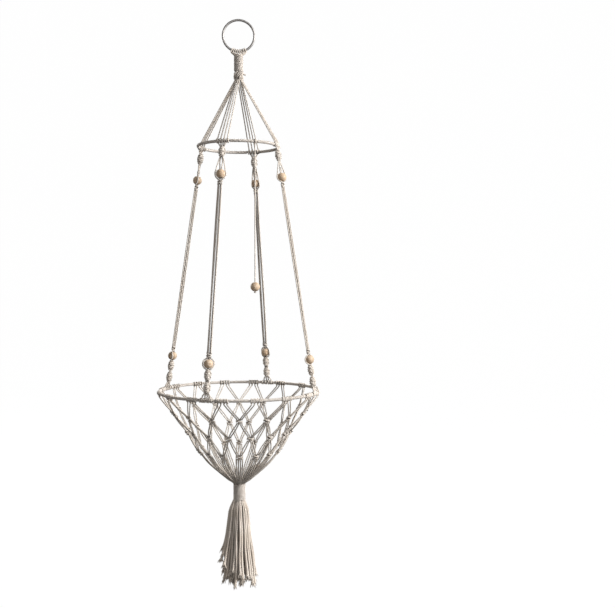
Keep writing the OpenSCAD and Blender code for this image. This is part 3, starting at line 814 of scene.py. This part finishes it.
upper_cages, upper_fillers, upper_knots = Build(), Build(), Build()
lower_cages, lower_fillers, lower_knots = Build(), Build(), Build()
for leg in LEGS:
    put = on_leg(leg)
    top_berry = Build()
    berry(top_berry, lowered(put, BERRY_AT), CAGE_AT - BERRY_AT)
    top_berry.make(leg + "_top_berry", "spreader", KNOT, "cotton_knot", [leg + "_upper_berry"])

    for side in (-1, 1):
        lead = [(2.2, CAGE_AT - 1), (3.6, CAGE_AT + 3), (5.0, CAGE_AT + 9), (6.6, CAGE_AT + 16)]
        path = cage_path(UPPER_BEAD_AT, lead, (3.7, UPPER_KNOT_AT), side, -30, CAGE_TURN[leg])
        upper_cages.cord(spline(put(path)))
        x = side * CAGE_FILLER_X
        mid = (CAGE_AT + UPPER_BEAD_AT) / 2 - 3
        upper_fillers.cord(spline(put([
            (x, 0, CAGE_AT - 1), (x * 1.8, -side * 0.6, mid - 2), (x * 1.8, side * 0.4, mid + 3),
            (x * 1.2, 0, UPPER_BEAD_AT - 8.5), (x, 0, UPPER_BEAD_AT - 6), (x, 0, UPPER_KNOT_AT + 0.5),
        ])))
        lead, end = [(3.7, LOWER_CAGE_AT)], (3.2, FOOT_1_AT)
        path = cage_path(LOWER_BEAD_AT, lead, end, side, -56, CAGE_TURN[leg] * 0.9)
        lower_cages.cord(spline(put(path)))
        stops = (LOWER_CAGE_AT - 0.5, LOWER_BEAD_AT, FOOT_1_AT + 0.5)
        lower_fillers.cord(spline(put([(x, 0, z) for z in stops])))

    square_knot(upper_knots, lowered(put, UPPER_KNOT_AT))
    square_knot(lower_knots, lowered(put, LOWER_KNOT_AT))

    make_bead(leg + "_top_bead", leg + "_upper_bead", leg + "_upper_bead", lowered(put, UPPER_BEAD_AT))
    make_bead(leg + "_foot_bead", leg + "_lower_bead", leg + "_lower_bead", lowered(put, LOWER_BEAD_AT))

    cords = Build()
    for i in range(4):
        x0, y0 = (i - 1.5) * BUNDLE_X, (i % 2 * 2 - 1) * 0.8
        drift, bow = rng.uniform(-0.5, 0.5), rng.uniform(0.25, 0.9)
        line = []
        for s in np.linspace(0, 1, 13):
            open_up = math.sin(math.pi * s)
            x = x0 * (1 + 0.22 * bow * open_up) + drift * math.sin(2 * math.pi * s)
            line.append((x, y0 * (1 + 0.3 * open_up), LEG_CORDS_AT - 0.6 + s * (long_l + 0.9)))
        cords.cord(spline(put(line)))
    piece = cords.make(leg + "_long_cords", "spreader", CORD, "cotton_cord", [leg + "_leg_cords"])
    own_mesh(piece)

    foot = Build()
    berry(foot, lowered(put, FOOT_1_AT), LOWER_BERRY_L)
    berry(foot, lowered(put, FOOT_2_AT), LOWER_BERRY_L)
    for x in (-2.9, -1.2, 1.2, 2.9):
        bridge = [(x, 0, FOOT_2_AT - 4), (x * 0.92, 0, FOOT_2_AT - 1.2), (x, 0, FOOT_2_AT + 1.5)]
        foot.cord(spline(put(bridge)))
    foot.make(leg + "_foot_berries", "basket", KNOT, "cotton_knot", [leg + "_foot_berries"])

upper_cages.make("upper_cages", "spreader", CORD, "cotton_cord", ["upper_cage_cords"])
upper_fillers.make("upper_fillers", "spreader", CORD, "cotton_cord", ["upper_core_cords"])
upper_knots.make("upper_square_knots", "spreader", KNOT, "cotton_knot", ["upper_knots"])
lower_cages.make("lower_cages", "basket", CORD, "cotton_cord", ["lower_cage_cords"])
lower_fillers.make("lower_fillers", "basket", CORD, "cotton_cord", ["lower_core_cords"])
lower_knots.make("lower_square_knots", "basket", KNOT, "cotton_knot", ["lower_knots"])

# ---------------------------------------------------------------- Basket ring
foot_ties = Build()
for leg, angle in LEGS.items():
    put = on_leg(leg)
    for i in FOUR:
        side = math.copysign(1.0, i)
        x = i * CROWN_SPREAD
        start = put([(i * BUNDLE_X, 0.4, FOOT_END_AT - 0.6), (x * 0.6 + i * 0.7, 1.0, FOOT_END_AT + 3.8)])
        end = on_ring(BASKET_R, BASKET_Z, angle, [x + side * 2.0], 2.3, math.pi)
        foot_ties.cord(*hitch(BASKET_R, BASKET_Z, angle, x - side * 1.9, x + side * 1.9, start, end))
foot_ties.make("foot_ties", "basket", CORD, "cotton_cord", ["leg_hitches"])

basket_cover = Build()
half_net = math.degrees((NET_HITCH_W / 2 - CORD_GAP) / BASKET_R)
half_leg = math.degrees((LEG_HITCH_W / 2 - CORD_GAP) / BASKET_R)
stops = [((k + 0.5) * CELL, half_net) for k in range(CELLS)]
stops = sorted(stops + [(a % 360.0, half_leg) for a in LEGS.values()])
stops.append((stops[0][0] + 360.0, stops[0][1]))
for (a, wa), (b, wb) in zip(stops, stops[1:]):
    if b - wb - a - wa > 0.9:
        winding(basket_cover, BASKET_R, BASKET_Z, a + wa, b - wb)
basket_cover.make("basket_ring_binding", "basket", WRAP, "cotton_wrap", ["basket_ring_wrap"])

net_ties, net_1, net_2, net_3 = Build(), Build(), Build(), Build()
net_knots = [Build(), Build(), Build()]
FUNNEL_R, FUNNEL_Z = 22.0, BOTTOM_Z + 8.8
funnel_lean = math.degrees(math.atan2(NET_R[1] - FUNNEL_R, NET_Z[1] - FUNNEL_Z))
net_lean = [
    -math.degrees(math.atan2(BASKET_R - NET_R[1], BASKET_Z - NET_Z[1])),
    -math.degrees(math.atan2(NET_R[0] - NET_R[2], NET_Z[0] - NET_Z[2])),
    -funnel_lean,
]
# Where a knot's four cords leave it, to both sides of its middle
NET_OUTER_X, NET_INNER_X = 4.4, 1.3
KNOT_X = [-NET_OUTER_X, -NET_INNER_X, NET_INNER_X, NET_OUTER_X]


def net_place(row, angle):
    return place(angle, NET_R[row], NET_Z[row], net_lean[row])


for k in range(CELLS):
    angle = (k + 0.5) * CELL
    for q, x in enumerate((-7.5, -2.5, 2.5, 7.5)):
        side = -1 if q < 2 else 1
        outer = abs(x) > 5
        start = on_ring(BASKET_R, BASKET_Z, angle, [x - side * 1.6], 2.2, math.pi / 2)
        end = on_ring(BASKET_R, BASKET_Z, angle, [x + side * 0.4], 4.6, -math.pi / 2)
        net_ties.cord(*hitch(BASKET_R, BASKET_Z, angle, x - side * 1.7, x + side * 1.4, start, end))
        # The pair runs down to the knot under the next gap
        goal = net_place(0, angle + side * CELL / 2)
        knot_x = -side * (NET_INNER_X if outer else NET_OUTER_X)
        top = on_ring(BASKET_R, BASKET_Z, angle, [x + side * 0.4], 4.6, -math.pi / 2)[0]
        foot_point = goal([(knot_x, 0, -KNOT_H / 2 - 0.3)])[0]
        near = goal([(knot_x * 1.15 - side * 0.5, 0.3, -KNOT_H / 2 - 3.2)])[0]
        low = top + np.array([0, 0, -2.2])
        middle = (low + near) / 2 + goal([(0, 0.6, 0)])[0] - goal([(0, 0, 0)])[0]
        net_1.cord(spline([top, low, middle, near, foot_point]))


def limb(build, row, angle, side):
    """A pair of cords from a knot to the one below it at a side."""
    above = net_place(row, angle)
    below = net_place(row + 1, angle + side * CELL / 2)
    outer, inner = side * NET_OUTER_X, side * NET_INNER_X
    for x_top, x_end, apart in ((outer, -inner, 0.8), (inner, -outer, -0.8)):
        a = above([(x_top, 0, KNOT_H / 2 + 0.3), (x_top + side * 0.6, 0.2, KNOT_H / 2 + 2.6)])
        b = below([(x_end - side * 0.6, 0.2, -KNOT_H / 2 - 2.6), (x_end, 0, -KNOT_H / 2 - 0.3)])
        bow = rng.uniform(-0.5, 0.9)
        sag = above([(side * apart, bow, 0)])[0] - above([(0, 0, 0)])[0]
        build.cord(spline(np.vstack([a, (a[1] + b[0]) / 2 + sag, b])))


for k in range(CELLS):
    for side in (-1, 1):
        limb(net_2, 0, k * CELL, side)
        limb(net_3, 1, (k + 0.5) * CELL, side)
    for row, shift in enumerate((0.0, 0.5, 0.0)):
        put = net_place(row, (k + shift) * CELL)
        square_knot(net_knots[row], lowered(put, -KNOT_H / 2), KNOT_H, NET_OUTER_X, NET_KNOT_D)

net_ties.make("net_ties", "basket", CORD, "cotton_cord", ["net_hitches"])
for row, pairs in enumerate((net_1, net_2, net_3)):
    n = row + 1
    pairs.make(f"net_pairs_{n}", "basket", CORD, "cotton_cord", [f"net_cords_{n}"])
    net_knots[row].make(f"net_square_knots_{n}", "basket", KNOT, "cotton_knot", [f"net_knots_{n}"])

# ---------------------------------------------------------------- Gathered cords and the bottom
# A cell is this many cord spacings wide, so a bundle of four leaves a small gap to the next
BUNDLE_SPREAD = 4.4
gathered = Build()
for k in range(CELLS):
    put = net_place(2, k * CELL)
    for q, x in enumerate(KNOT_X):
        start = put([(x, 0, KNOT_H / 2 + 0.3), (x * 1.05, 0, KNOT_H / 2 + 3)])
        fan = (q - 1.5) * CELL / BUNDLE_SPREAD
        layer = (q * 2 + k) % 4
        angle = k * CELL + fan
        depth = (0.0, 2.1, 0.9, 2.9)[layer]
        points = [start[0], start[1]]
        for s in (0.28, 0.5, 0.75):
            r = NET_R[2] * (1 - s) + FUNNEL_R * s - 3.2 * math.sin(math.pi * s) * 0.5
            z = (NET_Z[2] - 4) * (1 - s) + FUNNEL_Z * s - 3.4 * math.sin(math.pi * s)
            points.append(place(k * CELL + fan * min(1.0, 0.35 + 1.4 * s), r - depth * s, z)([(0, 0, 0)])[0])
        mouth = [
            (FUNNEL_R - 2 - depth * 0.8, FUNNEL_Z - 1.8), (13.5 - depth * 0.9, BOTTOM_Z + 2.8),
            (9.2 - depth, BOTTOM_Z - 1.2), (8.2 - depth, BOTTOM_Z - 6.6),
        ]
        for r, z in mouth:
            points.append(place(angle, r, z)([(0, 0, 0)])[0])
        gathered.cord(spline(points))
gathered.make("gathered_cords", "basket", CORD, "cotton_cord", ["gathered_cords"])

bottom = Build()
bottom_r = BOTTOM_WRAP_D / 2 - CORD_D / 2
bottom.lathe([
    (0.01, WRAP_END_Z + 0.5), (bottom_r - 1.0, WRAP_END_Z + 0.5), (bottom_r - 1.0, BOTTOM_Z - 1.5),
    (6.0, BOTTOM_Z), (0.01, BOTTOM_Z),
])
bottom.make("bottom_filling", "basket", WRAP, "cotton_wrap", ["bottom_core"])

bottom_coil = Build()
coil(bottom_coil, bottom_r, BOTTOM_Z, WRAP_END_Z)
bottom_coil.make("bottom_binding", "basket", WRAP, "cotton_wrap", ["bottom_wrap"])

tassel = Build()
OUTLINE_S = [0.0, 0.04, 0.11, 0.3, 0.52, 1.0]
OUTLINE_R = [8.6, 11.2, 15.2, 18.3, 22.0, 30.5]
STRAND_D = 4.2
# A strand's waves start anywhere in their turn, in radians
WAVE_START = 6.28
# Shells of strands from the outside in: how many, their share of the outline's radius, and the
# shortest share of the tassel's length that they reach
SHELLS = [(27, 0.96, 0.80), (19, 0.72, 0.84), (10, 0.45, 0.90), (4, 0.18, 0.93)]
# Strands on the left side that were cut shorter: angle and share of the length
SHORT = [(268.0, 0.57), (281.0, 0.68), (294.0, 0.60), (306.0, 0.72)]


def fray(build, path, d, count):
    """Loose fibres that spread from the end of a strand."""
    end = path[-1]
    way = path[-1] - path[-4]
    way /= np.linalg.norm(way)
    for _ in range(count):
        lean = np.array([rng.uniform(-1, 1), rng.uniform(-1, 1), 0.0])
        l = rng.uniform(4.0, 8.0)
        base = end - way * 3.0 + lean * d * 0.35
        turn = way + lean * rng.uniform(0.15, 0.75)
        shares = (0.0, 0.35, 0.7, 1.0)
        line = np.array([base + turn * l * t + np.array([0, 0, -l * 0.25 * t * t]) for t in shares])
        wide = np.array([0.8, 0.7, 0.5, 0.2])[:, None, None] * rng.uniform(0.8, 1.2)
        a = np.linspace(0, 2 * math.pi, 4, endpoint=False)[None, :, None]
        t, n = normals_of(line, None)
        b = np.cross(t, n)
        rings = line[:, None, :] + wide * (np.cos(a) * n[:, None, :] + np.sin(a) * b[:, None, :])
        build.grid(rings, np.array([0.0, 1.0, 2.0, 3.0]) * l / 3)


def strand(build, angle, share, length, kick=0.0):
    """One strand of the tassel, nearly straight, loosened below the wrapping; kick turns its end out."""
    start_a, start_b = rng.uniform(0, WAVE_START), rng.uniform(0, WAVE_START)
    wave_l = rng.uniform(60.0, 110.0)
    swing = rng.uniform(0.2, 0.8)
    path = []
    for z in np.linspace(0, length, int(length / 8)):
        s = z / TASSEL_L
        grow = min(1.0, s * 3)
        wave = 2 * math.pi * z / wave_l
        r = np.interp(s, OUTLINE_S, OUTLINE_R) * share + swing * math.sin(wave + start_b) * grow
        r += kick * (z / length) ** 4
        a = math.radians(angle) + 0.03 * math.sin(wave + start_a) * grow
        path.append((r * math.sin(a), -r * math.cos(a), WRAP_END_Z + 3.0 - z * (length + 3.0) / length))
    line = spline(path, 1.4)
    loosened = ((0.0, 0.06, 0.3, 0.9, 1.0), (0.6, 0.66, 1.0, 1.04, 1.4))
    d = STRAND_D * rng.uniform(0.9, 1.08)
    build.cord(line, d, lay=rng.uniform(10.0, 12.5), taper=loosened)
    fray(build, line, d, 14)


for count, share, shortest in SHELLS:
    for q in range(count):
        angle = (q + rng.uniform(-0.22, 0.22)) * 360.0 / count + share * 70
        reach = rng.uniform(shortest, 1.0) * TASSEL_L - 6.0
        strand(tassel, angle, share * rng.uniform(0.96, 1.03), reach, rng.uniform(0.0, 2.2))
for angle, reach in SHORT:
    strand(tassel, angle, 1.1, reach * TASSEL_L, 6.0)
fringe = tassel.make("tassel_fringe", None, FRINGE, "cotton_fringe", ["tassel"])
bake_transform(fringe)

# ---------------------------------------------------------------- The wire inside the covered rings
for node in ("upper_ring", "basket_ring"):
    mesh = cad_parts[node].data
    mesh.materials.clear()
    mesh.materials.append(PAINT)

# ---------------------------------------------------------------- Floor and backdrop
stage_material, _, stage_shader = new_material("pale_paper")
stage_shader.inputs["Base Color"].default_value = (0.02, 0.02, 0.02, 1.0)
stage_shader.inputs["Specular IOR Level"].default_value = 0.0
stage_shader.inputs["Roughness"].default_value = 1.0
stage_shader.inputs["Emission Color"].default_value = (0.985, 0.985, 0.985, 1.0)
stage_shader.inputs["Emission Strength"].default_value = 1.0
FLOOR_Z, STAGE_R, STAGE_TOP, BEND_R = -1.12, 3.6, 3.2, 1.0
profile = [(0.5, FLOOR_Z), (STAGE_R - BEND_R, FLOOR_Z)]
for a in np.linspace(0, math.pi / 2, 9)[1:]:
    profile.append((STAGE_R - BEND_R + BEND_R * math.sin(a), FLOOR_Z + BEND_R - BEND_R * math.cos(a)))
profile.append((STAGE_R, STAGE_TOP))
stage_rings = Build()
stage_rings.lathe([(r / MM, z / MM) for r, z in profile], None, 64)
mesh = bpy.data.meshes.new("studio_floor")
# Every face but the last, which would close the top
open_top = stage_rings.faces[:-1]
mesh.from_pydata((np.vstack(stage_rings.points) * MM).tolist(), [], open_top)
mesh.materials.append(stage_material)
floor = bpy.data.objects.new("studio_floor", mesh)
scene.collection.objects.link(floor)
floor.visible_diffuse = False
floor.visible_shadow = False
floor.visible_glossy = False
floor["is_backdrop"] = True

# ---------------------------------------------------------------- Overall size of what is shown
bpy.context.view_layer.update()
low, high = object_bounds()
